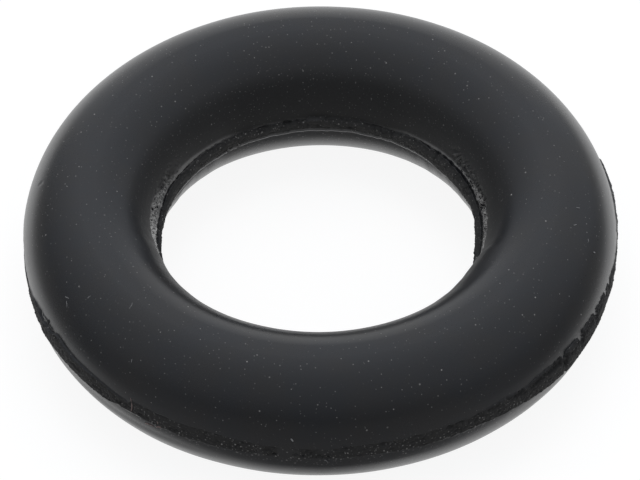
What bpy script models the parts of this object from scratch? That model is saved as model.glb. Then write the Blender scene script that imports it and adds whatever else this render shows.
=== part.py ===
"""Round rubber exhaust hanger: one moulded ring that lies flat, seen here with its mould flash torn off.

The ring is a turned oval section. Where the two mould halves met it carries a band of torn flash,
one around its outside and one around the wall of its hole. Both bands are part of the same moulding.
The origin is the ring's centre on the parting plane, and +Z is the ring's axis.
"""

import math

import bpy
import numpy as np

# Overall sizes of the ring, in metres
OUTSIDE_DIAMETER = 0.0630
HOLE_DIAMETER = 0.0348
THICKNESS = 0.01575
CROWN_FLAT = 0.0016

# Band of torn flash around the outside
OUTER_BAND_HEIGHT = 0.0022
OUTER_BAND_STAND = 0.00010
OUTER_TEAR_DEPTH = 0.00012
OUTER_EDGE_WANDER = 0.00022

# Band of torn flash around the wall of the hole
INNER_BAND_HEIGHT = 0.0016
INNER_BAND_STAND = 0.00045
INNER_TEAR_DEPTH = 0.00012
INNER_EDGE_WANDER = 0.00012

# Height over which a band steps out of the round wall
BAND_STEP = 0.00010

# Facets around the ring, and along one quarter of its section
TURN_STEPS = 144
ARC_STEPS = 6

# Uneven line of the tear: waves around the whole ring, how strong each is, and where each starts
TEAR_WAVES = ((7, 0.40, 0.6), (17, 0.35, 2.1), (29, 0.30, 4.0), (43, 0.25, 1.2))

# Bites torn out of a band: azimuth in degrees, length around the ring, depth, and part of the band's
# height: 1 is the upper edge, 0 the whole height and -1 the lower edge. A negative depth stands proud.
OUTER_BITES = (
    (-174.0, 0.0060, -0.00010, 0),
    (-155.0, 0.0050, -0.00012, 1),
    (-149.0, 0.0036, 0.00030, 1),
    (-129.5, 0.0036, 0.00040, 0),
    (-93.0, 0.0050, 0.00030, -1),
    (-79.0, 0.0036, 0.00035, 1),
    (-70.0, 0.0050, 0.00030, 1),
    (-50.0, 0.0060, 0.00040, 1),
    (-41.0, 0.0060, 0.00040, 1),
    (-28.5, 0.0034, 0.00045, 0),
    (-22.0, 0.0034, 0.00045, 0),
    (-15.5, 0.0034, 0.00040, 0),
    (12.0, 0.0260, -0.00022, 0),
    (21.5, 0.0034, 0.00035, 0),
    (118.0, 0.0060, 0.00030, 0),
)
INNER_BITES = (
    (2.0, 0.0050, -0.00015, -1),
    (90.0, 0.0034, -0.00028, 1),
    (108.0, 0.0080, 0.00020, 1),
    (120.5, 0.0026, 0.00032, -1),
    (168.0, 0.0050, -0.00012, 0),
    (250.0, 0.0040, 0.00025, 0),
)

# Sizes that follow from the ones above
RING_RADIUS = (OUTSIDE_DIAMETER + HOLE_DIAMETER) / 4
HALF_WIDTH = (OUTSIDE_DIAMETER - HOLE_DIAMETER) / 4
HALF_HEIGHT = THICKNESS / 2 / math.sqrt(1 - (CROWN_FLAT / 2 / HALF_WIDTH) ** 2)

RUBBER_COLOUR = (0.034, 0.036, 0.038, 1.0)
RUBBER_ROUGHNESS = 0.42


def wall_reach(height):
    """Distance of the oval section's wall from the ring's centre line, at a height above its middle."""
    return HALF_WIDTH * np.sqrt(np.clip(1 - (height / HALF_HEIGHT) ** 2, 0, 1))


def quarter_arc(band_height):
    """Points of the oval from the edge of the crown's flat down to a band, as (reach, height)."""
    crown = math.asin(CROWN_FLAT / 2 / HALF_WIDTH)
    shoulder = math.acos((band_height / 2 + BAND_STEP) / HALF_HEIGHT)
    turns = [crown + (shoulder - crown) * step / ARC_STEPS for step in range(ARC_STEPS + 1)]
    return [(HALF_WIDTH * math.sin(turn), HALF_HEIGHT * math.cos(turn)) for turn in turns]


def side_profile(band_height, stand):
    """One side of the section from its top to its underside: a quarter of the oval, the band, a quarter."""
    upper = quarter_arc(band_height)
    land = [(HALF_WIDTH + stand, band_height / 2 * level) for level in (1, 0, -1)]
    lower = [(reach, -height) for reach, height in reversed(upper)]
    return upper + land + lower


def section_profile():
    """The whole section at +X: down its outer side, and up the wall of the hole."""
    outer = side_profile(OUTER_BAND_HEIGHT, OUTER_BAND_STAND)
    inner = side_profile(INNER_BAND_HEIGHT, INNER_BAND_STAND)
    down = [(RING_RADIUS + reach, 0.0, height) for reach, height in outer]
    up = [(RING_RADIUS - reach, 0.0, height) for reach, height in reversed(inner)]
    return down + up


def turned_ring(collection):
    """Turn the section once around Z with a Screw modifier, and return the result as a plain mesh."""
    points = section_profile()
    edges = [(index, (index + 1) % len(points)) for index in range(len(points))]
    profile = bpy.data.meshes.new("ring_section")
    profile.from_pydata(points, edges, [])
    blank = bpy.data.objects.new("ring_blank", profile)
    collection.objects.link(blank)
    turn = blank.modifiers.new("turn", "SCREW")
    turn.axis = "Z"
    turn.angle = math.tau
    turn.steps = TURN_STEPS
    turn.render_steps = TURN_STEPS
    turn.use_merge_vertices = True
    turn.merge_threshold = 0.00001
    turned = bpy.data.meshes.new_from_object(blank.evaluated_get(bpy.context.evaluated_depsgraph_get()))
    bpy.data.objects.remove(blank)
    bpy.data.meshes.remove(profile)
    return turned


def tear_line(azimuth, shift):
    """Unevenness of a torn edge around the ring, between about -1 and 1."""
    waves = [size * np.sin(count * (azimuth + shift) + start) for count, size, start in TEAR_WAVES]
    return sum(waves)


def bite_depth(azimuth, level, radius, bites):
    """How far the bites reach into a band, at azimuths in radians and at levels of the band from -1 to 1."""
    depth = np.zeros_like(azimuth)
    for centre, length, bite, part in bites:
        away = np.angle(np.exp(1j * (azimuth - math.radians(centre)))) * radius
        along = 0.5 + 0.5 * np.cos(np.pi * np.clip(2 * away / length, -1, 1))
        across = 1.0 if part == 0 else np.clip(0.5 + level * part / 2, 0, 1)
        depth += bite * along * across
    return depth


def tear_band(side, azimuth, height, band_height, stand, tear_depth, wander, bites):
    """Torn radius and height for the points of one band and of the shoulders above and below it.

    side is 1 on the outside of the ring and -1 on the wall of its hole. A band's land moves in and out
    with the tear and its bites. Its edges wander up and down, and the shoulders keep to the oval.
    """
    level = np.clip(height / (band_height / 2), -1, 1)
    edge = tear_line(azimuth, side + 2 * np.sign(level)) * wander * np.abs(level)
    new_height = height + edge
    land = np.abs(height) < band_height / 2 + BAND_STEP / 2
    bites_here = bite_depth(azimuth, level, RING_RADIUS + side * HALF_WIDTH, bites)
    torn = HALF_WIDTH + stand + tear_depth * tear_line(azimuth, side * 0.7 + level) - bites_here
    reach = np.where(land, torn, wall_reach(new_height))
    return RING_RADIUS + side * reach, new_height


def tear_flash(mesh):
    """Give both bands of a turned ring their torn shape."""
    points = np.empty(len(mesh.vertices) * 3)
    mesh.vertices.foreach_get("co", points)
    points = points.reshape(-1, 3)
    radius = np.hypot(points[:, 0], points[:, 1])
    azimuth = np.arctan2(points[:, 1], points[:, 0])
    height = points[:, 2].copy()
    bands = (
        (1, OUTER_BAND_HEIGHT, OUTER_BAND_STAND, OUTER_TEAR_DEPTH, OUTER_EDGE_WANDER, OUTER_BITES),
        (-1, INNER_BAND_HEIGHT, INNER_BAND_STAND, INNER_TEAR_DEPTH, INNER_EDGE_WANDER, INNER_BITES),
    )
    for side, band_height, stand, tear_depth, wander, bites in bands:
        here = (np.abs(height) < band_height / 2 + 1.5 * BAND_STEP) & (side * (radius - RING_RADIUS) > 0)
        radius[here], height[here] = tear_band(
            side, azimuth[here], height[here], band_height, stand, tear_depth, wander, bites
        )
    points[:, 0] = radius * np.cos(azimuth)
    points[:, 1] = radius * np.sin(azimuth)
    points[:, 2] = height
    mesh.vertices.foreach_set("co", points.ravel())
    mesh.update()


def rubber_material():
    """Satin black rubber."""
    material = bpy.data.materials.new("black_rubber")
    material.use_nodes = True
    shader = material.node_tree.nodes["Principled BSDF"]
    shader.inputs["Base Color"].default_value = RUBBER_COLOUR
    shader.inputs["Roughness"].default_value = RUBBER_ROUGHNESS
    shader.inputs["Metallic"].default_value = 0.0
    material.diffuse_color = RUBBER_COLOUR
    return material


def build():
    """Clear the scene and model the hanger in a collection of its own."""
    for old in list(bpy.data.objects):
        bpy.data.objects.remove(old)
    collection = bpy.data.collections.new("exhaust_hanger")
    bpy.context.scene.collection.children.link(collection)

    mesh = turned_ring(collection)
    mesh.name = "hanger_ring"
    tear_flash(mesh)
    mesh.shade_smooth()
    mesh.set_sharp_from_angle(angle=math.radians(40))
    mesh.materials.clear()
    mesh.materials.append(rubber_material())
    ring = bpy.data.objects.new("hanger_ring", mesh)
    collection.objects.link(ring)


build()
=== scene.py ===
"""Looks of a round rubber exhaust hanger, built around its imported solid.

The ring is one moulding. It is drawn here as three closed surfaces that share one rubber: the round body,
and the two bands of torn mould flash, which need a much finer grid than the smooth body. Sizes are in
metres, except where a docstring says millimetres. The ring's axis is Z, azimuths run anticlockwise from
+X, and the parting plane is at height 0.
"""

import logging
import math
from collections.abc import Callable
from dataclasses import dataclass, replace
from enum import Enum

import bpy
import numpy as np
from mathutils import Matrix, Vector


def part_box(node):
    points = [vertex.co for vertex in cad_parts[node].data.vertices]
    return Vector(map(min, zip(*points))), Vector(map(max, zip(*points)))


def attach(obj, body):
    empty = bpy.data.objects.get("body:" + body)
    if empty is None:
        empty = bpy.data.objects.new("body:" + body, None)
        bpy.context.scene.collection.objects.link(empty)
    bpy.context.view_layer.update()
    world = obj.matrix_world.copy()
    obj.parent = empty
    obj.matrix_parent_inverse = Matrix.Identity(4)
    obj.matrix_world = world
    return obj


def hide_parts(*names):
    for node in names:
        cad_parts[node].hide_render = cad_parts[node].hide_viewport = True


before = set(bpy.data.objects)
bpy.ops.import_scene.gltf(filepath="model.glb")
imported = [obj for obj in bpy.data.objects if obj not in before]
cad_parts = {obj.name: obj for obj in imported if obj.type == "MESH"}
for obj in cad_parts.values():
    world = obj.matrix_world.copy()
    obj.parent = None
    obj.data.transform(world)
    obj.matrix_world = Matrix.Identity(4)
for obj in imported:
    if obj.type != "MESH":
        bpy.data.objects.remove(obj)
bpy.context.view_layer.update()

NODE = "hanger_ring"
BODY = "root"
MM = 0.001
TURN = 2 * math.pi

OUTSIDE_DIAMETER = 63.0 * MM
HOLE_DIAMETER = 34.8 * MM
CROWN_FLAT = 1.6 * MM

Array = np.ndarray

log = logging.getLogger("exhaust_hanger")


def ease(low: float, high: float, value: Array) -> Array:
    """Ease from 0 at low to 1 at high, which may be above or below it, with the cubic 3s^2 - 2s^3."""
    share = np.clip((value - low) / (high - low), 0, 1)
    return share * share * (3 - 2 * share)


def between(low: float, ease_in: float, high: float, ease_out: float, value: Array) -> Array:
    """1 between low and high, eased in above low and eased out below high."""
    return ease(low, low + ease_in, value) * ease(high, high - ease_out, value)


def azimuth_from(azimuth: Array, centre: float) -> Array:
    """Signed angle in radians from a centre given in degrees, the short way round."""
    return (azimuth - math.radians(centre) + math.pi) % TURN - math.pi


def turned(radius: Array, azimuth: Array, height: Array) -> Array:
    """Points (r cos a, r sin a, z), in which x, y and z lie along the last axis."""
    return np.stack([radius * np.cos(azimuth), radius * np.sin(azimuth), height], -1)


def linked(name: str, data: bpy.types.ID) -> bpy.types.Object:
    """Add an object to the scene, at the origin.

    Args:
        name: its name.
        data: its mesh, camera or lamp.

    Returns:
        The object.
    """
    made = bpy.data.objects.new(name, data)
    bpy.context.scene.collection.objects.link(made)
    return made


@dataclass(frozen=True)
class Section:
    """Oval section of the ring: an ellipse with a narrow flat on each crown."""

    half_thickness: float
    ring_radius: float = (OUTSIDE_DIAMETER + HOLE_DIAMETER) / 4
    half_width: float = (OUTSIDE_DIAMETER - HOLE_DIAMETER) / 4

    @classmethod
    def of_node(cls, node: str) -> "Section":
        """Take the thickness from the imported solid."""
        low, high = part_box(node)
        return cls((high.z - low.z) / 2)

    @property
    def half_height(self) -> float:
        """Half height of the ellipse, which the flats cut off."""
        return self.half_thickness / math.sqrt(1 - (CROWN_FLAT / 2 / self.half_width) ** 2)

    def reach(self, height: Array) -> Array:
        """Distance from the ring's centre line to its wall at a height: w * sqrt(1 - (z / h)^2)."""
        return self.half_width * np.sqrt(np.clip(1 - (height / self.half_height) ** 2, 0, 1))

    def turn_at(self, level: float) -> float:
        """Angle on the ellipse, in radians above its middle, at a height in millimetres."""
        return math.asin(level * MM / self.half_height)

    def points(self, azimuth: Array, turn: Array, raised: Array) -> Array:
        """Points of the wall, raised along its normal.

        The wall is (R + w cos t, h sin t) turned about Z, with heights cut off at the crown flats. Its
        normal is (cos t / w, sin t / h) made one long.

        Args:
            azimuth: angles about Z in radians.
            turn: angles on the ellipse in radians, 0 on the outside and a quarter turn on the crown.
            raised: how far each point stands off the oval.

        Returns:
            The points.
        """
        normal = np.stack([np.cos(turn) / self.half_width, np.sin(turn) / self.half_height])
        normal /= np.hypot(normal[0], normal[1])
        radius = self.ring_radius + self.half_width * np.cos(turn) + raised * normal[0]
        oval = np.clip(self.half_height * np.sin(turn), -self.half_thickness, self.half_thickness)
        height = oval + raised * normal[1]
        return turned(radius, azimuth, np.clip(height, -self.half_thickness, self.half_thickness))


SECTION = Section.of_node(NODE)


@dataclass(frozen=True)
class Wall:
    """Points on a wall of the ring, and random relief for them, closed around Z.

    The relief is worked out on the wall rolled out flat. azimuth is in radians and height in metres. The
    sizes that the methods take are in millimetres, and a layer is a number that picks another pattern.
    """

    azimuth: Array
    height: Array
    radius: float
    seed: int

    ROWS = 512
    OCTAVE_STRENGTH = 0.55
    OCTAVE_GAIN = 1.4
    CRUMB_STREAM = 900

    @property
    def level(self) -> Array:
        """Heights in millimetres."""
        return self.height / MM

    def _grid(self, size: float) -> tuple:
        """Lay a grid of cells over the rolled-out wall.

        Args:
            size: size of a cell.

        Returns:
            Number of columns, each point's two coordinates in cells, and its column and row.
        """
        columns = max(8, round(TURN * self.radius / (size * MM)))
        across, up = self.azimuth / TURN % 1 * columns, self.height / (size * MM) + self.ROWS / 2
        return columns, across, up, np.floor(across).astype(int), np.floor(up).astype(int)

    def patches(self, size: float, layer: int) -> Array:
        """Value noise: one random number per grid corner, eased between the four corners of each cell.

        Args:
            size: size of a patch.
            layer: the pattern.

        Returns:
            Values from -1 to 1.
        """
        columns, across, up, column, row = self._grid(size)
        table = np.random.default_rng([self.seed, layer]).uniform(-1, 1, (columns, self.ROWS))
        right, over = ease(0, 1, across - column), ease(0, 1, up - row)
        near, far = column % columns, (column + 1) % columns
        low, high = row % self.ROWS, (row + 1) % self.ROWS
        below = table[near, low] * (1 - right) + table[far, low] * right
        above = table[near, high] * (1 - right) + table[far, high] * right
        return below * (1 - over) + above * over

    def rough(self, size: float, octaves: int, layer: int) -> Array:
        """Sum of patches, each octave half the size of the one before, and weaker.

        Args:
            size: size of the largest patches.
            octaves: how many sizes are added.
            layer: the first pattern.

        Returns:
            Values from about -1 to 1.
        """
        strengths = self.OCTAVE_STRENGTH ** np.arange(octaves)
        layers = [strengths[step] * self.patches(size / 2**step, layer + step) for step in range(octaves)]
        return sum(layers) / strengths.sum() * self.OCTAVE_GAIN

    def crumbs(self, size: float, layer: int) -> Array:
        """Distance to the nearest crumb, where every cell holds one crumb at a random place.

        Args:
            size: size of a cell.
            layer: the pattern.

        Returns:
            Distances in cells, from 0 to about 1.
        """
        columns, across, up, column, row = self._grid(size)
        stream = np.random.default_rng([self.seed, self.CRUMB_STREAM + layer])
        places = stream.uniform(0, 1, (2, columns, self.ROWS))
        nearest = np.full(across.shape, np.inf)
        for step in range(9):
            beside, above = column + step // 3 - 1, row + step % 3 - 1
            at = (beside % columns, above % self.ROWS)
            gap = np.hypot(beside + places[0][at] - across, above + places[1][at] - up)
            nearest = np.minimum(nearest, gap)
        return nearest


@dataclass(frozen=True)
class Tear:
    """One place where a band tore deeper than elsewhere, or, with a negative depth, stands prouder.

    length, depth and tall are in millimetres, and so is level, the height of its middle. EDGE says where
    its eased side starts and ends, as shares of its size.
    """

    azimuth: float
    length: float
    depth: float
    level: float
    tall: float

    EDGE = (1.2, 0.6)

    def share(self, wall: Wall, stray: Array) -> Array:
        """How much of this tear each point has: an oval, 1 inside, with eased sides.

        Args:
            wall: points of the wall.
            stray: share of its size by which the oval's outline strays, so that it is ragged.

        Returns:
            Values from 0 to 1.
        """
        along = azimuth_from(wall.azimuth, self.azimuth) * wall.radius / MM / (self.length / 2)
        across = (wall.level - self.level) / (self.tall / 2)
        return ease(*self.EDGE, np.hypot(along, across) + stray)


@dataclass(frozen=True)
class Course:
    """A value that changes around the ring, given at some azimuths in degrees and eased between them."""

    marks: tuple

    def at(self, azimuth: Array) -> Array:
        """Value at each azimuth: the cubic ease between the two marks beside it.

        Args:
            azimuth: angles about Z in radians.

        Returns:
            The values.
        """
        place, value = np.array(sorted((mark % 360, number) for mark, number in self.marks)).T
        place = np.concatenate([place[-1:] - 360, place, place[:1] + 360])
        value = np.concatenate([value[-1:], value, value[:1]])
        degrees = np.degrees(azimuth) % 360
        after = np.clip(np.searchsorted(place, degrees, side="right"), 1, len(place) - 1)
        share = ease(place[after - 1], place[after], degrees)
        return value[after - 1] + share * (value[after] - value[after - 1])


NOWHERE = Course(((0, 0), (180, 0)))

# Height in millimetres above which the hole's wall is matt and darkened with painted shade, and how matt it
# is there
MATT_FROM = Course((
    (0, 2.2), (10, 2.1), (18, 1.4), (26, 1.1), (40, 0.95), (55, 0.75), (66, 0.3), (114, 0.3), (128, 0.75),
    (150, 1.05), (160, 1.5), (170, 2.5), (180, 2.7), (-150, 1.6), (-90, 1.2), (-30, 1.6),
))
MATT_SHARE = Course((
    (0, 0.75), (30, 0.6), (55, 0.7), (66, 0.8), (114, 0.8), (130, 0.65), (150, 0.55), (180, 0.5),
    (-150, 0.3), (-30, 0.4),
))
# How much glossier than the rest the hole's wall is between its flash and the matt part
GLOSS = Course((
    (0, 0.15), (8, 0.3), (16, 0.38), (28, 0.38), (46, 0.18), (60, 0), (120, 0), (134, 0.15), (152, 0.3),
    (180, 0.36), (-150, 0), (-30, 0),
))
# How much painted shade darkens a fully matt wall, as a share of cavity
MATT_WALL_SHADE = 0.9


def matt_wall(wall: Wall) -> Array:
    """How matt the hole's wall is above its band of flash, as a torn share that also scales its painted
    shade.

    Args:
        wall: points of the hole's wall.

    Returns:
        Values from 0 to 0.8 where it is matt, and below 0 where it is glossier than the rest.
    """
    matt = ease(0.0, 0.5 * MM, wall.height - MATT_FROM.at(wall.azimuth) * MM)
    gloss = (1 - matt) * ease(0.1 * MM, 0.3 * MM, wall.height)
    matt = MATT_SHARE.at(wall.azimuth) * matt * ease(7.0 * MM, 4.5 * MM, wall.height)
    return matt - GLOSS.at(wall.azimuth) * gloss


@dataclass(frozen=True)
class Wrinkles:
    """A wrinkled patch of wall beside a band, with folds that run at a slant.

    azimuth and spread are degrees, and low, high and depth are millimetres. slant is how far round the
    folds lean for each step up.
    """

    azimuth: float
    spread: float
    low: float
    high: float
    depth: float
    slant: float

    FADE_IN = 0.4
    FADE_OUT = 1.2
    FOLD_STRETCH = 0.38
    PIT_STRETCH = 0.5

    def folds(self, wall: Wall) -> tuple[Array, Array]:
        """The folds, with small pits among them, and the patch that they fill.

        Args:
            wall: points of the wall.

        Returns:
            The folds, from about -1 to 1, and the patch's share of each point.
        """
        away = np.degrees(np.abs(azimuth_from(wall.azimuth, self.azimuth))) / self.spread
        tall = between(self.low, self.FADE_IN, self.high, self.FADE_OUT, wall.level)
        leaning = replace(wall, azimuth=wall.azimuth + self.slant * wall.height / wall.radius)
        streaks = replace(leaning, height=wall.height * self.FOLD_STRETCH).rough(0.22, 2, 5)
        pits = replace(leaning, height=wall.height * self.PIT_STRETCH).crumbs(0.42, 7)
        patch = ease(1.0, 0.5, away + 0.2 * wall.patches(1.2, 8))
        return 0.95 * streaks - 0.55 * ease(0.42, 0.12, pits), patch * tall


class Side(Enum):
    """The two walls that carry a band of flash."""

    OUTSIDE = 1
    HOLE = -1


@dataclass(frozen=True)
class Bulge:
    """A stretch of one wall that stands proud of the oval, because the mould halves did not quite meet.

    amount is in millimetres around the ring, below 0 where the wall is hollow instead. low and high, the
    heights between which it lies, and fade, over which it eases in and out, are in millimetres too.
    """

    side: Side
    low: float
    high: float
    fade: float
    amount: Course

    def raised(self, wall: Wall) -> Array:
        """How far the wall that carries the bulge stands proud."""
        upright = between(self.low, self.fade, self.high, self.fade, wall.level)
        return self.amount.at(wall.azimuth) * MM * upright


BULGES = (
    Bulge(Side.OUTSIDE, -9.0, -2.35, 1.2, Course((
        (-180, 0), (-165, 0.03), (-155, 0.16), (-128, 0.14), (-105, 0), (-90, -0.05), (-76, -0.04), (-62, 0),
        (-54, 0.02), (-44, 0.07), (-36, 0.1), (-28, 0.03), (-22, 0),
    ))),
    Bulge(Side.HOLE, -7.6, -0.9, 1.0, Course((
        (-8, 0), (4, 0.28), (12, 0.48), (18, 0.46), (25, 0.47), (30, 0.5), (36, 0.41), (42, 0.31),
        (48, 0.24), (54, 0.13), (62, 0.06), (72, 0), (124, 0), (132, 0.13), (138, 0.2), (144, 0.29),
        (150, 0.42), (156, 0.38), (162, 0.41), (167, 0.4), (174, 0.21), (-178, 0),
    ))),
    Bulge(Side.HOLE, 0.9, 7.0, 1.6, Course((
        (-174, 0), (-168, 0.07), (-161, 0.23), (-150, 0.13), (-142, 0.08), (-130, 0), (-54, 0), (-45, 0.08),
        (-36, 0.24), (-30, 0.33), (-24, 0.28), (-20, 0.08), (-16, 0),
    ))),
)


def swollen(side: Side, wall: Wall) -> Array:
    """How far all the bulges of one side together raise its wall."""
    return sum(bulge.raised(wall) for bulge in BULGES if bulge.side is side)


def quads(columns: int, rows: int, closed: bool = True) -> Array:
    """Corners of the cells of a grid that closes along its rows, and along its columns too if asked.

    Args:
        columns: number of columns of points.
        rows: number of points in each column.
        closed: whether the last column joins the first.

    Returns:
        One row of four point numbers for each cell.
    """
    column, row = np.meshgrid(np.arange(columns - (not closed)), np.arange(rows), indexing="ij")
    on, up = (column + 1) % columns, (row + 1) % rows
    corners = [column * rows + row, on * rows + row, on * rows + up, column * rows + up]
    return np.stack(corners, -1).reshape(-1, 4)


def ring_mesh(name: str, points: Array, sharp: float, **values: Array) -> bpy.types.Object:
    """Make a mesh object from a grid that closes on itself around the ring and around its section.

    Args:
        name: name of the piece.
        points: grid of points, [around the ring, around the section, xyz].
        sharp: angle in degrees from which an edge is drawn sharp.
        values: named numbers for the material, one per grid point.

    Returns:
        The new object, at the origin.
    """
    columns, rows = points.shape[:2]
    cells = quads(columns, rows)
    mesh = bpy.data.meshes.new(name)
    mesh.vertices.add(columns * rows)
    mesh.vertices.foreach_set("co", points.astype(np.float32).ravel())
    mesh.loops.add(cells.size)
    mesh.loops.foreach_set("vertex_index", cells.astype(np.int32).ravel())
    mesh.polygons.add(len(cells))
    mesh.polygons.foreach_set("loop_start", np.arange(0, cells.size, 4, dtype=np.int32))
    mesh.update(calc_edges=True)
    mesh.validate()
    mesh.shade_smooth()
    for attribute, numbers in values.items():
        layer = mesh.attributes.new(attribute, "FLOAT", "POINT")
        layer.data.foreach_set("value", numbers.astype(np.float32).ravel())
    mesh.set_sharp_from_angle(angle=math.radians(sharp))
    return linked(name, mesh)


def math_node(operation: str, swapped: bool = False) -> Callable[["Term", object], "Term"]:
    """Make a method that puts a term and another value through one Math node.

    Args:
        operation: the node's operation.
        swapped: whether the other value goes first, as in an operator's reflected form.

    Returns:
        The method.
    """

    def joined(term: "Term", other: object) -> "Term":
        """Add the Math node."""
        first, second = (other, term) if swapped else (term, other)
        return term.graph.node("Math", {"operation": operation}, {0: first, 1: second})

    return joined


@dataclass(frozen=True)
class Term:
    """An output of a node. Where it is a number, Python's operators put it through Math nodes."""

    graph: "Graph"
    socket: bpy.types.NodeSocket | None

    __add__ = math_node("ADD")
    __radd__ = math_node("ADD", swapped=True)
    __sub__ = math_node("SUBTRACT")
    __rsub__ = math_node("SUBTRACT", swapped=True)
    __mul__ = math_node("MULTIPLY")
    __rmul__ = math_node("MULTIPLY", swapped=True)
    __pow__ = math_node("POWER")
    at_most = math_node("MINIMUM")
    at_least = math_node("MAXIMUM")


class Graph:
    """Node tree of a material or of the world."""

    def __init__(self, owner: bpy.types.Material | bpy.types.World) -> None:
        """Turn the owner's nodes on, and start from an empty tree."""
        owner.use_nodes = True
        self.tree = owner.node_tree
        self.tree.nodes.clear()

    def node(self, kind: str, settings: dict, inputs: dict, output: object = 0) -> Term:
        """Add a node, set it, then fill its sockets with values or links.

        Args:
            kind: Blender's name of the node type, after ShaderNode.
            settings: attributes of the node, set first.
            inputs: value or term for each input, by name or number.
            output: name or number of the output that is wanted.

        Returns:
            That output as a term.
        """
        made = self.tree.nodes.new("ShaderNode" + kind)
        for key, value in settings.items():
            setattr(made, key, value)
        for key, value in inputs.items():
            if isinstance(value, Term):
                self.tree.links.new(value.socket, made.inputs[key])
            else:
                made.inputs[key].default_value = value
        return Term(self, made.outputs[output] if made.outputs else None)

    def step(self, value: Term, low: float, high: float) -> Term:
        """Ease from 0 at low to 1 at high."""
        settings = {"interpolation_type": "SMOOTHSTEP"}
        return self.node("MapRange", settings, {0: value, 1: low, 2: high, 3: 0.0, 4: 1.0})

    def mix(self, share: object, first: object, second: object) -> Term:
        """Blend two colours."""
        settings = {"data_type": "RGBA"}
        return self.node("Mix", settings, {0: share, 6: first, 7: second}, 2)

    def place(self) -> Term:
        """Position on the object."""
        return self.node("TexCoord", {}, {}, "Object")

    def noise(self, place: Term, size: float, detail: float = 2.0, rough: float = 0.5) -> Term:
        """Soft noise from 0 to 1 whose largest patches have this size in millimetres."""
        inputs = {"Vector": place, "Scale": 1 / (size * MM), "Detail": detail, "Roughness": rough}
        return self.node("TexNoise", {}, inputs, "Fac")

    def attribute(self, name: str) -> Term:
        """Number stored on the mesh."""
        return self.node("Attribute", {"attribute_name": name}, {}, "Fac")

    def white(self, mirrored: Term) -> Term:
        """Where rays meet white: all from the camera or through glass do, and this share of reflections."""
        kinds = ("Is Camera Ray", "Is Transmission Ray", "Is Glossy Ray")
        seen, through, glossy = (self.node("LightPath", {}, {}, kind) for kind in kinds)
        return (seen + through + glossy * mirrored).at_most(1.0)

    def surface(self, inputs: dict) -> None:
        """Finish a material with one Principled shader."""
        shader = self.node("BsdfPrincipled", {}, inputs, "BSDF")
        self.node("OutputMaterial", {}, {"Surface": shader})


@dataclass(frozen=True)
class DustLayer:
    """Specks of one size scattered at random through space, so that they show where they meet the wall.

    spacing and radius are in millimetres.
    """

    spacing: float
    radius: float
    strength: float
    rarity: float

    CORE = 0.35

    def share(self, graph: Graph, place: Term) -> Term:
        """How much of the surface a speck covers, from 0 to its strength.

        A speck is the ball of this radius around each feature point of a Voronoi pattern. Its strength
        is scaled by a power, its rarity, of a random number of its cell, so that many are faint.

        Args:
            graph: node tree to add to.
            place: position on the object.

        Returns:
            The share as a term.
        """
        inputs = {"Vector": place, "Scale": 1 / (self.spacing * MM), "Randomness": 1.0}
        cells = {"feature": "F1", "distance": "EUCLIDEAN"}
        distance = graph.node("TexVoronoi", cells, inputs, "Distance")
        colour = graph.node("TexVoronoi", cells, inputs, "Color")
        luck = graph.node("SeparateColor", {}, {0: colour}, 0)
        edge = self.radius * MM / (self.spacing * MM)
        return graph.step(distance, edge, edge * self.CORE) * luck**self.rarity * self.strength


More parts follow.
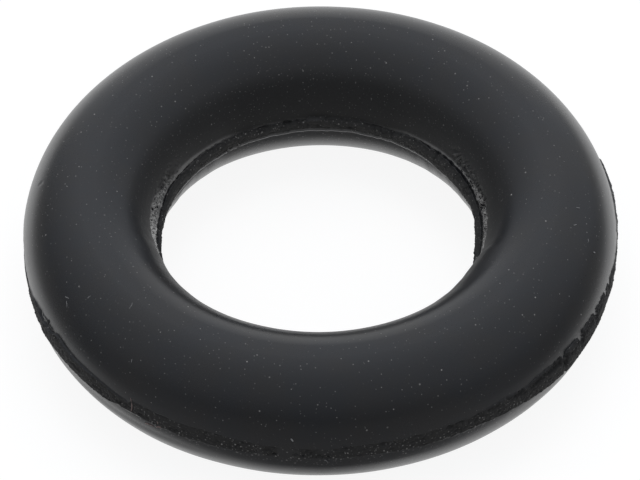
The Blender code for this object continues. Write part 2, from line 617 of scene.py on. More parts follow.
@dataclass(frozen=True)
class RubberFinish:
    """Satin black rubber, dusty, and rough and matt where the flash tore off.

    The mesh gives three numbers: torn is 1 on a torn surface and below 0 on a glossy one, cavity is 1
    in the bottom of pits, grooves and creases and is painted shade there, which darkens the colour, and dusty
    is 1 where pale crumbs lie thickest. Sizes and heights here are in millimetres, and a change is how far
    each thing moves the roughness.
    """

    cool: tuple = (0.0105, 0.0120, 0.0145, 1.0)
    warm: tuple = (0.0128, 0.0128, 0.0133, 1.0)
    torn_colour: tuple = (0.0255, 0.0249, 0.0237, 1.0)
    # Colour of the painted shade at the bottom of pits, grooves and creases
    pit_shade_colour: tuple = (0.006, 0.006, 0.006, 1.0)
    dust_colour: tuple = (0.40, 0.39, 0.37, 1.0)
    roughness: float = 0.29
    torn_roughness: float = 0.80
    roughest: float = 0.95
    refraction: float = 1.58
    tint_size: float = 5.5
    grain_size: float = 0.28
    worn_size: float = 9.0
    worn_change: float = 0.06
    grain_change: float = 0.10
    gloss_change: float = 0.5
    speck_change: float = 0.3
    pit_change: float = 0.1
    grain_height: float = 0.010
    speck_height: float = 0.03
    dust: tuple = (
        DustLayer(0.52, 0.085, 0.60, 1.5),
        DustLayer(1.25, 0.115, 0.90, 1.8),
        DustLayer(2.9, 0.14, 1.0, 1.0),
    )
    torn_dust: DustLayer = DustLayer(0.34, 0.080, 1.0, 1.6)
    crumbs: DustLayer = DustLayer(0.40, 0.13, 1.0, 1.15)

    def material(self) -> bpy.types.Material:
        """Build the material.

        Returns:
            The material, which reads Object coordinates and the mesh's three numbers.
        """
        material = bpy.data.materials.new("black_rubber")
        graph = Graph(material)
        place = graph.place()
        torn = graph.attribute("torn")
        gloss = (0.0 - torn).at_least(0.0)
        torn = torn.at_least(0.0)
        cavity = graph.attribute("cavity")

        tint = graph.step(graph.noise(place, self.tint_size, 3.0, 0.6), 0.35, 0.65)
        grain = graph.noise(place, self.grain_size, 3.0, 0.6)
        base = graph.mix(tint, self.cool, self.warm)
        base = graph.mix(torn, base, self.torn_colour)
        # Painted shade: darken the colour towards pit_shade_colour where cavity is high
        base = graph.mix(cavity, base, self.pit_shade_colour)
        specks = self.torn_dust.share(graph, place) * torn * (1.0 - cavity)
        specks = specks + self.crumbs.share(graph, place) * graph.attribute("dusty")
        for layer in self.dust:
            specks = specks + layer.share(graph, place) * (1.0 - 0.5 * cavity)
        base = graph.mix(specks.at_most(1.0), base, self.dust_colour)

        worn = graph.noise(place, self.worn_size)
        satin = self.roughness + self.worn_change * (worn - 0.5) + self.grain_change * (grain - 0.5)
        roughness = satin - self.gloss_change * gloss + torn * (self.torn_roughness - self.roughness)
        roughness = roughness + self.speck_change * specks + self.pit_change * cavity
        height = grain * (0.35 + 2.0 * torn) * self.grain_height * MM + specks * self.speck_height * MM
        bump = graph.node("Bump", {}, {"Height": height, "Strength": 1.0, "Distance": 1.0}, "Normal")
        roughness = roughness.at_most(self.roughest)
        graph.surface({"Base Color": base, "Roughness": roughness, "Normal": bump, "IOR": self.refraction})
        return material


@dataclass(frozen=True)
class LintFinish:
    """Pale fibre, a little uneven in colour along its length."""

    pale: tuple
    dark: tuple

    def material(self, name: str) -> bpy.types.Material:
        """Build the material.

        Args:
            name: its name.

        Returns:
            The material, which reads Object coordinates.
        """
        material = bpy.data.materials.new(name)
        graph = Graph(material)
        share = graph.step(graph.noise(graph.place(), 0.4), 0.3, 0.7)
        graph.surface({"Base Color": graph.mix(share, self.pale, self.dark), "Roughness": 0.8})
        return material


@dataclass(frozen=True)
class FlashBand:
    """The belt of wall that carries one band of torn mould flash: a closed strip let into the body.

    Its face is the oval wall raised by a relief. Above and below the band the relief is nothing, and
    the belt lies flush with the body around it. Its back lies inside the body. The belt, the courses, the
    fillets and where it is dusty are in millimetres, save bare, dusty and torn_ledge, which are shares.
    TEXTURE is how high the waves, lumps and grain of the tear are. The groove is cut by one share of its
    course and darkened with painted shade by another.
    """

    name: str
    side: Side
    belt: tuple
    upper: Course
    lower: Course
    stand: Course
    bare: Course
    dusty: Course
    dusty_level: float
    dusty_spread: float
    torn_ledge: Course
    fillets: tuple
    tears: tuple
    columns: int
    rows: int
    seed: int
    groove: Course = NOWHERE
    groove_width: Course = Course(((0, 0.1), (180, 0.1)))
    flare: Course = NOWHERE
    wrinkles: tuple = ()

    OVERLAP = 0.05 * MM
    FLUSH = 0.0015 * MM
    FLARE_TOP = 2.40 * MM
    FLARE_FALL = 2.20 * MM
    BELT_EASE = 0.3
    EDGE_WAVES = (0.09, 0.060)
    TEXTURE = (0.055, 0.11, 0.050)
    PROUD = 0.04 * MM
    STRAY = 0.40
    GROOVE_CUT = 0.4
    GROOVE_SHADE = 0.6
    ROOT_SHADE = 0.4
    BACK_ROWS = 4
    BACK_DEPTH = 1.5 * MM
    SHARP = 75.0

    @property
    def radius(self) -> float:
        """Radius of the wall that carries the band."""
        return SECTION.ring_radius + self.side.value * SECTION.half_width

    def edges(self, azimuth: Array) -> list[Array]:
        """Heights of the torn face's upper and lower edge around the ring.

        Each follows its course, plus slow and quick unevenness.

        Args:
            azimuth: angles about Z in radians.

        Returns:
            The upper and the lower edge's heights.
        """
        middle = Wall(azimuth, np.zeros_like(azimuth), self.radius, self.seed)
        edges, waves = [], self.EDGE_WAVES
        for number, course in enumerate((self.upper, self.lower)):
            slow, quick = middle.rough(2.4, 3, 40 + 10 * number), middle.rough(0.55, 2, 60 + 10 * number)
            edges.append((course.at(azimuth) + waves[0] * slow + waves[1] * quick) * MM)
        return edges

    def rise(self, height: Array, upper: Array, lower: Array) -> Array:
        """Share of the band's stand that the wall has reached at each height.

        Above the upper edge it is w^1.5, a ledge that ends in a crisp arris. Below the lower edge it is
        sqrt(1 - v^2), a round lip. w falls and v grows over the two fillets.

        Args:
            height: heights on the wall.
            upper: heights of the torn face's upper edge.
            lower: heights of its lower edge.

        Returns:
            Values from 0 to 1.
        """
        above, below = self.fillets
        ledge = np.clip(1 - (height - upper) / (above * MM), 0, 1) ** 1.5
        lip = np.sqrt(np.clip(1 - (np.clip(lower - height, 0, None) / (below * MM)) ** 2, 0, 1))
        return ledge * lip

    def crumbly(self, wall: Wall) -> Array:
        """How thick pale crumbs lie: exp(-(a / s)^2), a from a level given from the upper edge."""
        away = (wall.height - self.edges(wall.azimuth)[0]) / MM - self.dusty_level
        return self.dusty.at(wall.azimuth) * np.exp(-((away / self.dusty_spread) ** 2))

    def relief(self, wall: Wall) -> tuple[Array, Array, Array]:
        """How far the strip's face stands off the oval, and what the material needs to know of it.

        The flash stands on the wall by its share of the stand, roughened where it is torn. The groove
        beneath its upper edge and the tears are cut out of it, and the wrinkles are added beside it.

        Args:
            wall: points of the band's wall.

        Returns:
            The relief, the torn share and the painted-shade share (cavity) of each point.
        """
        azimuth, height = wall.azimuth, wall.height
        upper, lower = self.edges(azimuth)
        coarse = wall.rough(1.3, 2, 20)
        lumps = 0.5 - wall.crumbs(0.42, 0)
        wave, lump, grain = self.TEXTURE
        texture = (wave * coarse + lump * lumps + grain * wall.rough(0.24, 2, 30)) * MM
        bare = ease(0.3, 0.7, self.bare.at(azimuth) + 0.35 * coarse)
        flare = self.flare.at(azimuth) * MM * np.clip((self.FLARE_TOP - height) / self.FLARE_FALL, 0, 1) ** 2
        stood = self.rise(height, upper, lower) * (1 - bare) * self.stand.at(azimuth) * MM
        proud = ease(0.0, self.PROUD, stood - flare)
        ledge = self.torn_ledge.at(azimuth)
        torn = ease(0.02 * MM, 0.10 * MM, upper - height) * (1 - ledge) + proud * ledge
        torn = torn * ease(0.0, 0.08 * MM, height - lower) * (1 - bare)
        width = self.groove_width.at(azimuth) * MM
        beneath = np.clip((np.abs(upper - 1.1 * width - height) / width - 0.3) / 0.9, 0, 2)
        ragged = ease(-0.75, -0.15, wall.rough(0.7, 2, 15))
        groove = self.groove.at(azimuth) * MM * np.exp(-(beneath**2)) * ragged
        stray = self.STRAY * wall.rough(0.5, 3, 10)
        bites = sum(tear.depth * tear.share(wall, stray) for tear in self.tears)
        torn_off = bites * MM + self.GROOVE_CUT * groove
        oval = swollen(self.side, wall)
        relief = np.maximum(np.maximum(stood, flare), oval) if self.side is Side.HOLE else stood + oval
        relief = relief + torn * texture - torn_off
        # Painted shade: darker in the low points of the torn texture, in tears and the groove, along the root
        # under the ledge, in the folds' troughs and on the matt wall
        cavity = np.clip((-0.01 * MM - texture) / (0.09 * MM), 0, 1) * 0.7 * torn
        cavity = cavity + np.clip((torn_off + self.GROOVE_SHADE * groove) / (0.26 * MM), 0, 1) * 0.75
        root = proud * ease(0.28 * MM, 0.10 * MM, stood - flare)
        cavity = cavity + self.ROOT_SHADE * ledge * root * (height > upper)
        matt = matt_wall(wall)
        for patch in self.wrinkles:
            folds, share = patch.folds(wall)
            relief = relief + patch.depth * MM * folds * share
            # Painted shade in the folds' troughs and pits
            cavity = np.maximum(cavity, np.clip(-folds - 0.15, 0, 1) * share)
            matt = matt - 0.8 * np.clip(folds, 0, 1) * share
        if self.side is Side.HOLE:
            torn = np.where(torn > 0.02, np.maximum(torn, matt), matt)
            # Painted shade on the matt wall of the hole
            cavity = np.maximum(cavity, MATT_WALL_SHADE * matt)
        low, high = self.belt
        within = ease(low * MM, (low + self.BELT_EASE) * MM, height)
        within = within * ease(high * MM, (high - self.BELT_EASE) * MM, height)
        return oval + (relief - oval) * within - self.FLUSH, torn, np.clip(cavity, 0, 1)

    def build(self) -> bpy.types.Object:
        """Make the strip: its face row by row, then its back, a shallower oval inside the body.

        Returns:
            The mesh object.
        """
        azimuth = np.linspace(0, TURN, self.columns, endpoint=False)
        low, high = self.belt[0] * MM - self.OVERLAP, self.belt[1] * MM + self.OVERLAP
        back = np.linspace(high, low, self.BACK_ROWS + 2)[1:-1]
        rows = np.concatenate([np.linspace(low, high, self.rows), back])
        depth = np.where(np.arange(len(rows)) < self.rows, 0, self.BACK_DEPTH)
        if self.side is Side.HOLE:
            rows, depth = rows[::-1], depth[::-1]
        wall = Wall(*np.meshgrid(azimuth, rows, indexing="ij"), self.radius, self.seed)
        relief, torn, cavity = self.relief(wall)
        relief = np.where(depth > 0, -depth, relief)
        radius = SECTION.ring_radius + self.side.value * (SECTION.reach(wall.height) + relief)
        points = turned(radius, wall.azimuth, wall.height)
        return ring_mesh(self.name, points, self.SHARP, torn=torn, cavity=cavity, dusty=self.crumbly(wall))


# Flash around the outside. It stands out furthest on the right of the photograph
OUTER_FLASH = FlashBand(
    name="outer_flash",
    side=Side.OUTSIDE,
    belt=(-2.30, 2.00),
    upper=Course((
        (-180, 1.1), (-175, 1), (-170, 0.65), (-165, 0.45), (-161.5, 0.7), (-159.5, 0.8), (-158, 0.5),
        (-153, 0.55), (-151.5, 1), (-149.5, 0.95), (-148, 0.75), (-137, 0.7), (-134, 0.5), (-130.6, 0.45),
        (-129.8, 0.2), (-129, 0.9), (-108, 0.9), (-100, 0.7), (-88, 0.6), (-80, 0.9), (-60, 0.9),
        (-50, 0.95), (-47.5, 0.75), (-45, 1), (-37.5, 1), (-36.8, 0.1), (-36.3, 0.1), (-35.6, 0.95),
        (-31.6, 0.95), (-30.7, 0), (-30.1, 0), (-29.2, 1.1), (-24.7, 1.2), (-24, 0), (-23.5, 0),
        (-22.8, 1.15), (-18.6, 1.2), (-18, 0.25), (-17.6, 0.25), (-17, 1.05), (-15.8, 1.05), (-15.2, 0.35),
        (-14.4, 1.05), (-12.4, 1.05), (-11, 0.8), (0, 0.95), (22, 0.95), (60, 1.1), (100, 0.9), (140, 1.1),
    )),
    lower=Course((
        (-180, -1.1), (-160, -1.1), (-150, -1.15), (-141, -1.35), (-135, -1.4), (-133, -0.9), (-128, -1),
        (-110, -1), (-104, -0.9), (-61, -0.9), (-52, -1.05), (-45, -1.3), (-38, -1.45), (-32, -1.55),
        (-26, -1.4), (-18, -1.2), (-8, -1.1), (60, -1.1), (140, -1.1),
    )),
    stand=Course((
        (-180, -0.18), (-175, -0.35), (-170, -0.14), (-166, 0.06), (-160, 0.22), (-156, 0.36), (-150, 0.31),
        (-142, 0.22), (-134, 0.12), (-128, 0.02), (-112, 0), (-100, 0), (-85, 0), (-70, 0.01), (-60, 0.05),
        (-52, 0.17), (-42, 0.29), (-35, 0.38), (-24, 0.25), (-18, 0.12), (-12, 0.08), (-6, 0.04), (0, 0.02),
        (4, 0.16), (8, 0.24), (14, 0.32), (18.6, 0.38), (19.6, 0.05), (22.3, 0.05), (23, 0.34), (25.5, 0.34),
        (28, 0.12), (60, 0.12), (90, 0.15), (120, 0.2), (140, 0.1), (165, -0.03), (174, -0.09),
    )),
    groove=Course((
        (-160, 0.04), (-151, 0.08), (-136, 0.08), (-134, 0), (-129.5, 0), (-127, 0.14), (-114, 0.12),
        (-105, 0), (-88, 0), (-80, 0.05), (-62, 0.08), (-57, 0.22), (-47, 0.28), (-37.2, 0.34), (-24, 0.3),
        (-12, 0.22), (-9, 0), (60, 0.05), (160, 0),
    )),
    groove_width=Course((
        (-140, 0.12), (-110, 0.09), (-64, 0.12), (-56, 0.2), (-45, 0.28), (-12, 0.26), (0, 0.1),
    )),
    bare=Course((
        (-134, 0), (-132, 0.25), (-130, 0), (-106, 0), (-101, 0.4), (-96, 0.5), (-89, 0.45), (-86, 0.1),
        (-37.2, 0), (-36.5, 0.8), (-35.8, 0), (100, 0), (117, 0.6), (121, 0),
    )),
    dusty=Course((
        (-165, 0), (-150, 0.35), (-132, 0.3), (-128, 0.85), (-104, 0.9), (-60, 0.75), (-48, 0.4), (-30, 0.1),
    )),
    dusty_level=-1.4,
    dusty_spread=1.05,
    fillets=(0.12, 0.05),
    torn_ledge=Course(((-62, 0), (-54, 0.9), (-12, 0.9), (-6, 0), (100, 0))),
    tears=tuple(Tear(*row) for row in (
        (-174, 1.2, 0.08, 0.3, 0.5), (-155.5, 3, -0.1, 0.85, 0.6), (-155, 0.25, 0.14, 1.1, 0.8),
        (-151, 1.1, 0.14, 0.9, 0.4), (-144, 1.6, 0.1, 0, 0.5), (-138, 1.6, 0.12, -0.5, 0.5),
        (-132, 0.7, 0.16, -0.4, 0.4), (-126, 2, 0.1, -0.6, 0.6), (-119, 1.6, 0.1, -0.5, 0.5),
        (-99, 0.5, 0.16, -0.5, 0.3), (-95, 0.7, 0.18, -0.3, 0.3), (-93.8, 0.4, 0.18, -0.5, 0.3),
        (-89, 0.35, 0.2, -0.8, 0.8), (-85.5, 1.4, 0.1, 0.6, 0.6), (-78.3, 1, 0.16, 0.55, 0.6),
        (-71.5, 1.4, 0.1, 0, 0.5), (-65, 1, 0.14, 0.6, 0.6), (-58.5, 1.4, 0.12, 0.3, 0.4),
        (-49.3, 1.6, 0.2, 0.7, 0.5), (-43.5, 1.8, 0.14, 0.75, 0.6), (-39.5, 2.2, 0.16, 0.8, 0.7),
        (75, 3, 0.2, 0.5, 0.8), (150, 2, 0.2, -0.3, 0.7),
    )),
    columns=1700,
    rows=54,
    seed=11,
)

# Flash around the wall of the hole, a low step with one tab standing above it. The wall above it is
# wrinkled and pitted at the left and right of the photograph's view
INNER_FLASH = FlashBand(
    name="inner_flash",
    side=Side.HOLE,
    belt=(-2.00, 3.25),
    upper=Course((
        (-30, 0.2), (0, 0.1), (12, 0.1), (20, 0.15), (30, 0.22), (60, 0.22), (86.5, 0.25), (87.8, 0.52),
        (93.4, 0.52), (95, 0.2), (104, 0.1), (112, 0.1), (118, 0.28), (145, 0.22), (165, 0.12), (180, 0.15),
        (-150, 0.2), (-90, 0.3),
    )),
    lower=Course((
        (0, -0.95), (30, -1.02), (40, -0.98), (50, -0.82), (60, -0.76), (90, -0.76), (118, -0.78),
        (130, -0.88), (140, -0.98), (160, -0.98), (180, -0.95), (-90, -0.8),
    )),
    stand=Course((
        (-180, 0.58), (-172, 0.5), (-165, 0.38), (-156, 0.5), (-150, 0.56), (-135, 0.48), (-110, 0.4),
        (-70, 0.4), (-48, 0.48), (-38, 0.6), (-30, 0.72), (-25, 0.66), (-18, 0.42), (-13, 0.76), (-6, 0.94),
        (0, 0.91), (6, 0.83), (12, 0.68), (18, 0.56), (24, 0.64), (33, 0.7), (42, 0.66), (48, 0.6),
        (57, 0.48), (66, 0.42), (84, 0.38), (120, 0.42), (132, 0.44), (144, 0.46), (150, 0.5), (156, 0.52),
        (163, 0.54), (170, 0.6),
    )),
    bare=Course(((0, 0), (-108, 0), (-110, 0.9), (-113, 0.9), (-116, 0))),
    dusty=Course((
        (0, 0), (40, 0.2), (60, 0.5), (84, 0.4), (90, 0.5), (97, 0.7), (115, 0.8), (128, 0.8), (140, 0.3),
        (160, 0),
    )),
    dusty_level=-0.08,
    dusty_spread=0.26,
    flare=Course((
        (-90, 0.1), (-60, 0.2), (-30, 0.32), (0, 0.3), (8, 0.24), (15, 0.14), (20, 0.08), (26, 0.04),
        (38, 0.02), (50, 0), (130, 0), (145, 0.03), (155, 0.08), (160, 0.12), (166, 0.18), (172, 0.26),
        (-170, 0.32), (-150, 0.32), (-120, 0.2),
    )),
    fillets=(0.30, 0.65),
    torn_ledge=Course(((0, 1), (86.4, 1), (87.6, 0.1), (93.6, 0.1), (94.8, 1), (180, 1))),
    tears=tuple(Tear(*row) for row in (
        (101, 1.2, 0.12, 0.3, 0.4), (110, 2.6, 0.12, 0.2, 0.4), (120.3, 0.3, 0.55, -0.95, 1),
        (124.5, 0.3, 0.2, -0.95, 0.5), (70, 2.6, 0.1, 0.3, 0.4), (78, 1.6, 0.1, -0.2, 0.5),
        (-40, 3, 0.2, 0.4, 0.8), (161.5, 0.4, 0.12, 2.1, 0.25), (168.5, 0.4, 0.12, 2.5, 0.22),
        (173, 0.4, 0.12, 2, 0.25), (8.6, 0.5, 0.45, 2, 1.9), (10, 0.4, 0.4, 1.2, 0.9),
        (27.5, 1.2, 0.14, 1.7, 0.25), (3, 0.45, -0.1, 1.9, 0.35), (12, 0.45, -0.1, 2.1, 0.35),
        (20, 0.4, -0.1, 1.8, 0.3),
    )),
    wrinkles=(Wrinkles(167.0, 24.0, 1.1, 3.5, 0.11, -0.45), Wrinkles(10.0, 34.0, 1.1, 3.3, 0.15, 0.45)),
    columns=1170,
    rows=78,
    seed=23,
)


@dataclass(frozen=True)
class RoundBody:
    """The ring's smooth oval body, with a channel on either wall into which a belt of flash is let.

    DENT is the one dent in its crown. It lies DENT_TURN degrees up the section, where a degree is
    DENT_STEP millimetres long. SIDE says where the two walls start and are in full, as the cosine of the
    section's turn.
    """

    outer_belt: tuple = OUTER_FLASH.belt
    inner_belt: tuple = INNER_FLASH.belt
    columns: int = 860
    seed: int = 5

    CHANNEL_DEPTH = 0.70 * MM
    CHANNEL_WALL = 0.03 * MM
    CHANNEL_CLEAR = 2.5
    DENT = Tear(174.0, 0.45, 0.07, 0.0, 0.45)
    DENT_TURN = 43.0
    DENT_STEP = 0.13
    SIDE = (0.2, 0.5)
    SHARP = 45.0

    def turns(self) -> Array:
        """Angles of the rows around the section, with a step at each edge of the channels.

        Returns:
            The angles in radians, from the outer belt's lower edge once around.
        """
        outer_low, outer_high = (SECTION.turn_at(level) for level in self.outer_belt)
        inner_low, inner_high = (math.pi - SECTION.turn_at(level) for level in self.inner_belt)
        wall = self.CHANNEL_WALL / SECTION.half_height
        clear = self.CHANNEL_CLEAR * wall
        crown = math.acos(CROWN_FLAT / 2 / SECTION.half_width)
        stretches = (
            (outer_low, outer_high, 5),
            (outer_high + wall, outer_high + wall, 1),
            (outer_high + clear, crown, 26),
            (math.pi - crown, inner_high - clear, 24),
            (inner_high - wall, inner_high - wall, 1),
            (inner_high, inner_low, 6),
            (inner_low + wall, inner_low + wall, 1),
            (inner_low + clear, math.pi + crown, 22),
            (TURN - crown, TURN + outer_low - clear, 22),
            (TURN + outer_low - wall, TURN + outer_low - wall, 1),
        )
        return np.concatenate([np.linspace(*stretch) for stretch in stretches])

    def relief(self, azimuth: Array, turn: Array) -> Array:
        """How far the body's surface stands off the oval: nearly nothing, or sunk in the channels.

        Args:
            azimuth: angles about Z in radians.
            turn: angles on the ellipse in radians.

        Returns:
            The relief of each point.
        """
        girth = Wall(azimuth, turn * SECTION.half_width, SECTION.ring_radius, self.seed)
        level = SECTION.half_height * np.sin(turn) / MM
        relief = 0.020 * MM * girth.rough(9.0, 2, 0)
        beside = (np.degrees(turn) - self.DENT_TURN) * self.DENT_STEP * MM
        crown = replace(girth, height=beside, radius=OUTSIDE_DIAMETER / 2)
        dent = self.DENT.share(crown, np.zeros_like(turn))
        relief = relief - self.DENT.depth * MM * dent
        for on_side, belt in ((np.cos(turn) > 0, self.outer_belt), (np.cos(turn) < 0, self.inner_belt)):
            clear = np.maximum(belt[0] - level, level - belt[1])
            sunk = on_side & (clear < self.CHANNEL_WALL / MM / 2)
            relief = np.where(on_side, relief * ease(0.05, 2.0, clear), relief)
            relief = np.where(sunk, -self.CHANNEL_DEPTH, relief)
        return relief

    def build(self) -> bpy.types.Object:
        """Make the body, and swell its walls outwards from its axis or into its hole.

        Returns:
            The mesh object, which stands for the CAD ring.
        """
        azimuth = np.linspace(0, TURN, self.columns, endpoint=False)
        around, turn = np.meshgrid(azimuth, self.turns(), indexing="ij")
        points = SECTION.points(around, turn, self.relief(around, turn))
        wall = Wall(around, SECTION.half_height * np.sin(turn), SECTION.ring_radius, self.seed)
        outside, hole = ease(*self.SIDE, np.cos(turn)), ease(*self.SIDE, -np.cos(turn))
        proud = swollen(Side.OUTSIDE, wall) * outside - swollen(Side.HOLE, wall) * hole
        points = points + turned(proud, around, np.zeros_like(turn))
        # The hole's matt wall is rougher, and darkened with painted shade by MATT_WALL_SHADE
        matt = np.clip(matt_wall(wall), 0, 1) * hole
        dusty = 0.3 * hole * ease(-1.5 * MM, -2.5 * MM, wall.height)
        return ring_mesh("ring_body", points, self.SHARP, torn=matt, cavity=MATT_WALL_SHADE * matt, dusty=dusty)


@dataclass(frozen=True)
class Fibre:
    """A loose fibre or chip lying on the ring.

    azimuth and turn are degrees of its middle, and heading is degrees from the direction around the ring
    towards the crown. length and width are millimetres, and bow is how far its middle strays sideways,
    as a share of its length.
    """

    azimuth: float
    turn: float
    heading: float
    length: float
    width: float
    bow: float = 0.0


@dataclass(frozen=True)
class Lint:
    """The fibres of one colour, as closed tubes that lie on the rubber."""

    name: str
    finish: LintFinish
    fibres: tuple

    STATIONS = 12
    SIDES = 6

    def _tube(self, fibre: Fibre) -> Array:
        """Points of one fibre: a circle carried along a bowed line on the ring's wall.

        The line's middle is at the fibre's azimuth and turn. At a share s from -1 to 1 of its half
        length it is s * length / 2 along the heading, and bow * length * (1 - s^2) beside it. The
        circle's radius is width / 2 * sqrt(1 - s^4), which closes its ends.

        Args:
            fibre: the fibre.

        Returns:
            The points, one circle after another.
        """
        share = np.linspace(-1, 1, self.STATIONS)
        along = share * fibre.length / 2 * MM
        beside = fibre.bow * fibre.length * MM * (1 - share**2)
        heading = math.radians(fibre.heading)
        around = along * math.cos(heading) - beside * math.sin(heading)
        up = along * math.sin(heading) + beside * math.cos(heading)
        radius = SECTION.ring_radius + SECTION.half_width * math.cos(math.radians(fibre.turn))
        azimuth = math.radians(fibre.azimuth) + around / radius
        turn = math.radians(fibre.turn) + up / SECTION.half_width
        centre = SECTION.points(azimuth, turn, np.full_like(share, fibre.width * 0.25 * MM))
        outward = SECTION.points(azimuth, turn, np.full_like(share, MM)) - centre
        outward /= np.linalg.norm(outward, axis=1, keepdims=True)
        ahead = np.gradient(centre, axis=0)
        ahead /= np.linalg.norm(ahead, axis=1, keepdims=True)
        aside = np.cross(ahead, outward)
        thick = fibre.width / 2 * MM * np.sqrt(np.clip(1 - share**4, 0.02, 1))
        angle = np.linspace(0, TURN, self.SIDES, endpoint=False)
        ring = np.cos(angle)[None, :, None] * outward[:, None] + np.sin(angle)[None, :, None] * aside[:, None]
        return (centre[:, None] + ring * thick[:, None, None]).reshape(-1, 3)

    def build(self) -> bpy.types.Object:
        """Make all the fibres as one mesh, each closed with a cap at both ends.

        Returns:
            The mesh object.
        """
        points = np.concatenate([self._tube(fibre) for fibre in self.fibres])
        tube = quads(self.STATIONS, self.SIDES, closed=False)[:, [0, 3, 2, 1]]
        circle, size = np.arange(self.SIDES), self.STATIONS * self.SIDES
        faces = []
        for first in range(0, len(points), size):
            faces += (tube + first).tolist()
            faces += [(circle[::-1] + first).tolist(), (circle + first + size - self.SIDES).tolist()]
        mesh = bpy.data.meshes.new(self.name)
        mesh.from_pydata(points.tolist(), [], faces)
        mesh.shade_smooth()
        mesh.materials.append(self.finish.material(self.name))
        return linked(self.name, mesh)


# The fibres that the photograph shows, by colour
GREY_LINT = Lint(
    "grey_lint",
    LintFinish((0.42, 0.42, 0.42, 1), (0.22, 0.22, 0.22, 1)),
    tuple(Fibre(*row) for row in (
        (-152.8, 40.8, 20, 0.65, 0.09), (-151.9, 36.9, -35, 0.75, 0.05, 0.08),
        (-148.1, 56.1, 75, 0.45, 0.06, 0.15), (-138.8, 75.6, -65, 0.7, 0.05, 0.1),
        (-131, 38.3, -75, 0.35, 0.05), (-95.7, 12.6, -50, 0.4, 0.15), (-89.3, -10.2, -60, 0.75, 0.05, 0.15),
        (-6.9, 65.3, -65, 0.5, 0.06), (-12.2, 64.9, -40, 0.5, 0.06), (-13.9, 49.4, 25, 0.42, 0.06),
        (-15.3, 40.2, -60, 0.25, 0.14), (-97.4, 124, 30, 0.9, 0.045, 0.2), (-102.5, 94, 80, 0.5, 0.045, 0.1),
    )),
)
TAN_LINT = Lint(
    "tan_lint",
    LintFinish((0.45, 0.34, 0.31, 1), (0.22, 0.16, 0.15, 1)),
    tuple(Fibre(*row) for row in (
        (-129.3, 0.4, 88, 2, 0.09, -0.14), (-124.9, -11.1, 8, 1.3, 0.09, 0.06),
        (-122.7, -8.6, 25, 0.8, 0.12, 0.15), (-123.2, -2, -60, 0.8, 0.08, 0.15),
    )),
)


@dataclass(frozen=True)
class Softbox:
    """A patch of light in the surroundings. In a direction d it is strength * ((1 + d.axis) / 2)^power."""

    axis: tuple
    power: float
    strength: float

    def lobe(self, graph: Graph, direction: Term) -> Term:
        """The patch's shape along a ray's direction, before its strength."""
        inputs = {0: direction, 1: self.axis}
        toward = graph.node("VectorMath", {"operation": "DOT_PRODUCT"}, inputs, "Value")
        return ((toward + 1.0) * 0.5).at_least(0.0) ** self.power


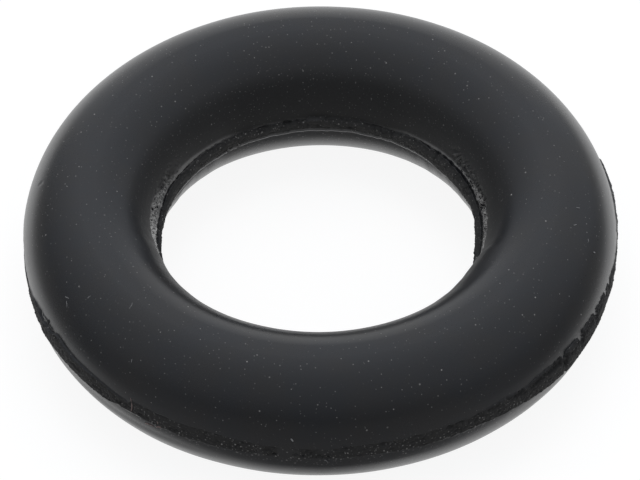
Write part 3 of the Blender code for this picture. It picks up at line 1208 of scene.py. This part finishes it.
@dataclass(frozen=True)
class Studio:
    """White floor, soft studio light from behind and above, and the camera at the photograph's angle."""

    floor_height: float
    floor_half: float = 3.0
    camera_distance: float = 913.9 * MM
    camera_elevation: float = 45.338
    camera_roll: float = -0.672
    focal_pixels: float = 8616.5
    centre_right: float = -0.23
    centre_up: float = 3.23
    picture_width: float = 640.0
    sensor: float = 36.0
    fill_watts: float = 5.0
    fill_size: float = 1.2
    fill_place: tuple = (0.0, 0.45, 1.3)
    light_tint: tuple = (0.95, 0.98, 1.05, 1)
    # Colours of the paper that reflections see, with painted shade: darker near the camera than far off
    paper_shaded_near: tuple = (0.40, 0.39, 0.38, 1)
    paper_lit_far: tuple = (0.74, 0.725, 0.70, 1)
    black: tuple = (0.0, 0.0, 0.0, 1)
    white: tuple = (1, 1, 1, 1)
    shadow_tone: tuple = (0.16, 0.16, 0.16, 1)
    glow: float = 0.90
    everywhere: float = 0.11
    from_above: float = 0.30
    horizon: Softbox = Softbox((0.0, 0.997, 0.08), 36.0, 0.60)
    softboxes: tuple = (
        Softbox((0.0, 0.707, 0.707), 5.0, 0.43),
        Softbox((0.91, -0.24, 0.34), 8.0, 0.20),
        Softbox((-0.91, -0.24, 0.34), 8.0, 0.17),
        Softbox((0.75, 0.63, 0.20), 30.0, 0.18),
        Softbox((0.0, -0.88, 0.47), 12.0, 0.05),
    )

    # Millimetres between which the floor's painted white light and painted shade, seen only in reflections,
    # fade in:
    # along the view, out from the ring's centre, or sideways from a wedge that widens towards the back
    UNDER_FROM, UNDER_TO, UNDER_SLANT = (17.8, 20.4), (33, 29.5), 0.12
    BEHIND_FROM, BEHIND_SIDES, BEHIND_RING, WEDGE_SLANT = (-30, -6), (52, 42), (26, 30), 0.35
    FRONT_TO, FRONT_WITHIN = (12.4, 11.2), (22, 20)
    HOLE_WITHIN, HOLE_MIDDLE, HOLE_TO = (17.6, 16.2), (9.5, 12.5), (13.8, 12.3)
    PAPER_SHADE_FALL = (-70, 30)
    ASIDE_SIDES, ASIDE_FROM, ASIDE_SHADE = (44, 60), (-60, -20), 0.5

    def camera(self) -> None:
        """Place the camera.

        It looks at the ring from -Y, raised by its elevation. It aims a little beside the origin, so
        that the ring's centre falls where the photograph has it.
        """
        raised, roll = math.radians(self.camera_elevation), math.radians(self.camera_roll)
        back = Vector((0, -math.cos(raised), math.sin(raised)))
        right, up = Vector((1, 0, 0)), Vector((0, math.sin(raised), math.cos(raised)))
        right, up = right * math.cos(roll) + up * math.sin(roll), up * math.cos(roll) - right * math.sin(roll)
        pixel = self.camera_distance / self.focal_pixels
        place = back * self.camera_distance
        aim = -(right * self.centre_right + up * self.centre_up) * pixel
        back = (place - aim).normalized()
        right = up.cross(back).normalized()
        up = back.cross(right)
        data = bpy.data.cameras.new("camera")
        data.sensor_width = self.sensor
        data.lens = self.focal_pixels / self.picture_width * self.sensor
        data.clip_start, data.clip_end = 0.01, 100
        eye = linked("camera", data)
        eye.matrix_world = Matrix.Translation(place) @ Matrix((right, up, back)).transposed().to_4x4()
        bpy.context.scene.camera = eye

    def world(self) -> None:
        """Light from all round, strongest from behind and above.

        It is a little everywhere, more from above, plus the softboxes. The backdrop is white to the
        camera, and in reflections it is white near the horizon straight behind the ring.
        """
        world = bpy.data.worlds.new("studio")
        bpy.context.scene.world = world
        graph = Graph(world)
        direction = graph.node("TexCoord", {}, {}, "Generated")
        height = graph.node("SeparateXYZ", {}, {0: direction}, 2).at_least(0.0)
        level = self.everywhere + self.from_above * height
        for softbox in (self.horizon, *self.softboxes):
            level = level + softbox.strength * softbox.lobe(graph, direction)
        studio = graph.node("Background", {}, {"Color": self.light_tint, "Strength": level})
        white = graph.node("Background", {}, {"Color": self.white, "Strength": 1.0})
        shown = graph.white(self.horizon.lobe(graph, direction))
        light = graph.node("MixShader", {}, {0: shown, 1: studio, 2: white})
        graph.node("OutputWorld", {}, {"Surface": light})

    def fill(self) -> None:
        """One large soft lamp high behind the ring, at a plain level."""
        data = bpy.data.lights.new("overhead", "AREA")
        data.shape = "RECTANGLE"
        data.size, data.size_y = self.fill_size, self.fill_size
        data.energy = self.fill_watts
        lamp = linked("overhead", data)
        lamp.location = self.fill_place
        lamp.rotation_euler = (-Vector(self.fill_place)).to_track_quat("-Z", "Y").to_euler()
        lamp.visible_glossy = False

    def floor_white(self, graph: Graph, place: Term) -> tuple[Term, Term]:
        """Where reflections of the floor show painted white light, and elsewhere the paper's painted shade.

        They are white in a strip under the ring, in a wedge behind it, and inside the hole save for its
        middle and its far edge, as painted light that only reflections see. Elsewhere they show the paper,
        painted darker towards the camera as shade where the light falls off, and painted darker beside the
        wedge. Lengths here are in millimetres.

        Args:
            graph: node tree to add to.
            place: position on the floor.

        Returns:
            The painted white share, and the paper's colour with its painted shade.
        """

        def step(value: Term, marks: tuple) -> Term:
            """Ease from 0 at the first mark to 1 at the second."""
            return graph.step(value, *(mark * MM for mark in marks))

        across, along = (graph.node("SeparateXYZ", {}, {0: place}, axis) for axis in (0, 1))
        away = graph.node("VectorMath", {"operation": "LENGTH"}, {0: place}, "Value")
        sideways = across.at_least(0.0 - across)
        wedge = sideways - self.WEDGE_SLANT * along
        # Painted white light for reflections: a strip under the ring, a wedge behind it and most of the hole
        under = step(away, self.UNDER_FROM) * step(away - self.UNDER_SLANT * sideways, self.UNDER_TO)
        behind = step(along, self.BEHIND_FROM) * step(wedge, self.BEHIND_SIDES) * step(away, self.BEHIND_RING)
        beside = step(along, self.FRONT_TO) * step(away, self.FRONT_WITHIN)
        inside = step(away, self.HOLE_WITHIN).at_least(beside)
        inside = inside * step(away, self.HOLE_MIDDLE) * step(along, self.HOLE_TO)
        # Painted shade: the paper darker towards the camera, and darker still beside the wedge
        paper_shade_tone = graph.mix(step(along, self.PAPER_SHADE_FALL), self.paper_shaded_near, self.paper_lit_far)
        aside = self.ASIDE_SHADE * (step(wedge, self.ASIDE_SIDES) * step(along, self.ASIDE_FROM))
        return under.at_least(behind).at_least(inside), graph.mix(aside, paper_shade_tone, self.black)

    def floor(self) -> None:
        """Paper floor, which the camera sees white, with the ring's soft shadow on it.

        Reflections see painted white light on it in places, and the paper's painted shade elsewhere.
        """
        half = self.floor_half
        corners = ((-half, -half), (half, -half), (half, half), (-half, half))
        mesh = bpy.data.meshes.new("floor")
        mesh.from_pydata([(x, y, self.floor_height) for x, y in corners], [], [(0, 1, 2, 3)])
        material = bpy.data.materials.new("white_floor")
        graph = Graph(material)
        bright, paper_shade_tone = self.floor_white(graph, graph.place())
        paper = graph.node("BsdfDiffuse", {}, {"Color": paper_shade_tone})
        shadow = graph.node("BsdfDiffuse", {}, {"Color": self.shadow_tone})
        glow = graph.node("Emission", {}, {"Color": self.white, "Strength": self.glow})
        backdrop = graph.node("AddShader", {}, {0: shadow, 1: glow})
        # Reflections see painted white light where bright is 1, and the paper with its painted shade
        # elsewhere
        surface = graph.node("MixShader", {}, {0: graph.white(bright), 1: paper, 2: backdrop})
        graph.node("OutputMaterial", {}, {"Surface": surface})
        mesh.materials.append(material)
        floor = linked("floor", mesh)

    def build(self) -> None:
        """Set up the whole studio."""
        self.camera()
        self.world()
        self.fill()
        self.floor()
        bpy.context.scene.view_settings.view_transform = "Standard"


@dataclass(frozen=True)
class ExhaustHanger:
    """The whole ring: its body, its two bands of torn flash and the lint that lies on it."""

    surfaces: tuple = (RoundBody(), OUTER_FLASH, INNER_FLASH)
    lint: tuple = (GREY_LINT, TAN_LINT)

    def build(self) -> None:
        """Build and dress every piece, and put it on the ring's body."""
        rubber = RubberFinish().material()
        for maker in self.surfaces:
            piece = maker.build()
            piece.data.materials.append(rubber)
            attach(piece, BODY)
            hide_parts(NODE)
            log.info("%s: %d faces", piece.name, len(piece.data.polygons))
        for maker in self.lint:
            piece = maker.build()
            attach(piece, BODY)
            log.info("%s: %d fibres", piece.name, len(maker.fibres))


def main() -> None:
    """Build the studio and the hanger, and note the sizes."""
    logging.basicConfig(level=logging.INFO, format="%(name)s: %(message)s")
    Studio(floor_height=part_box(NODE)[0].z).build()
    ExhaustHanger().build()


if __name__ == "__main__":
    main()
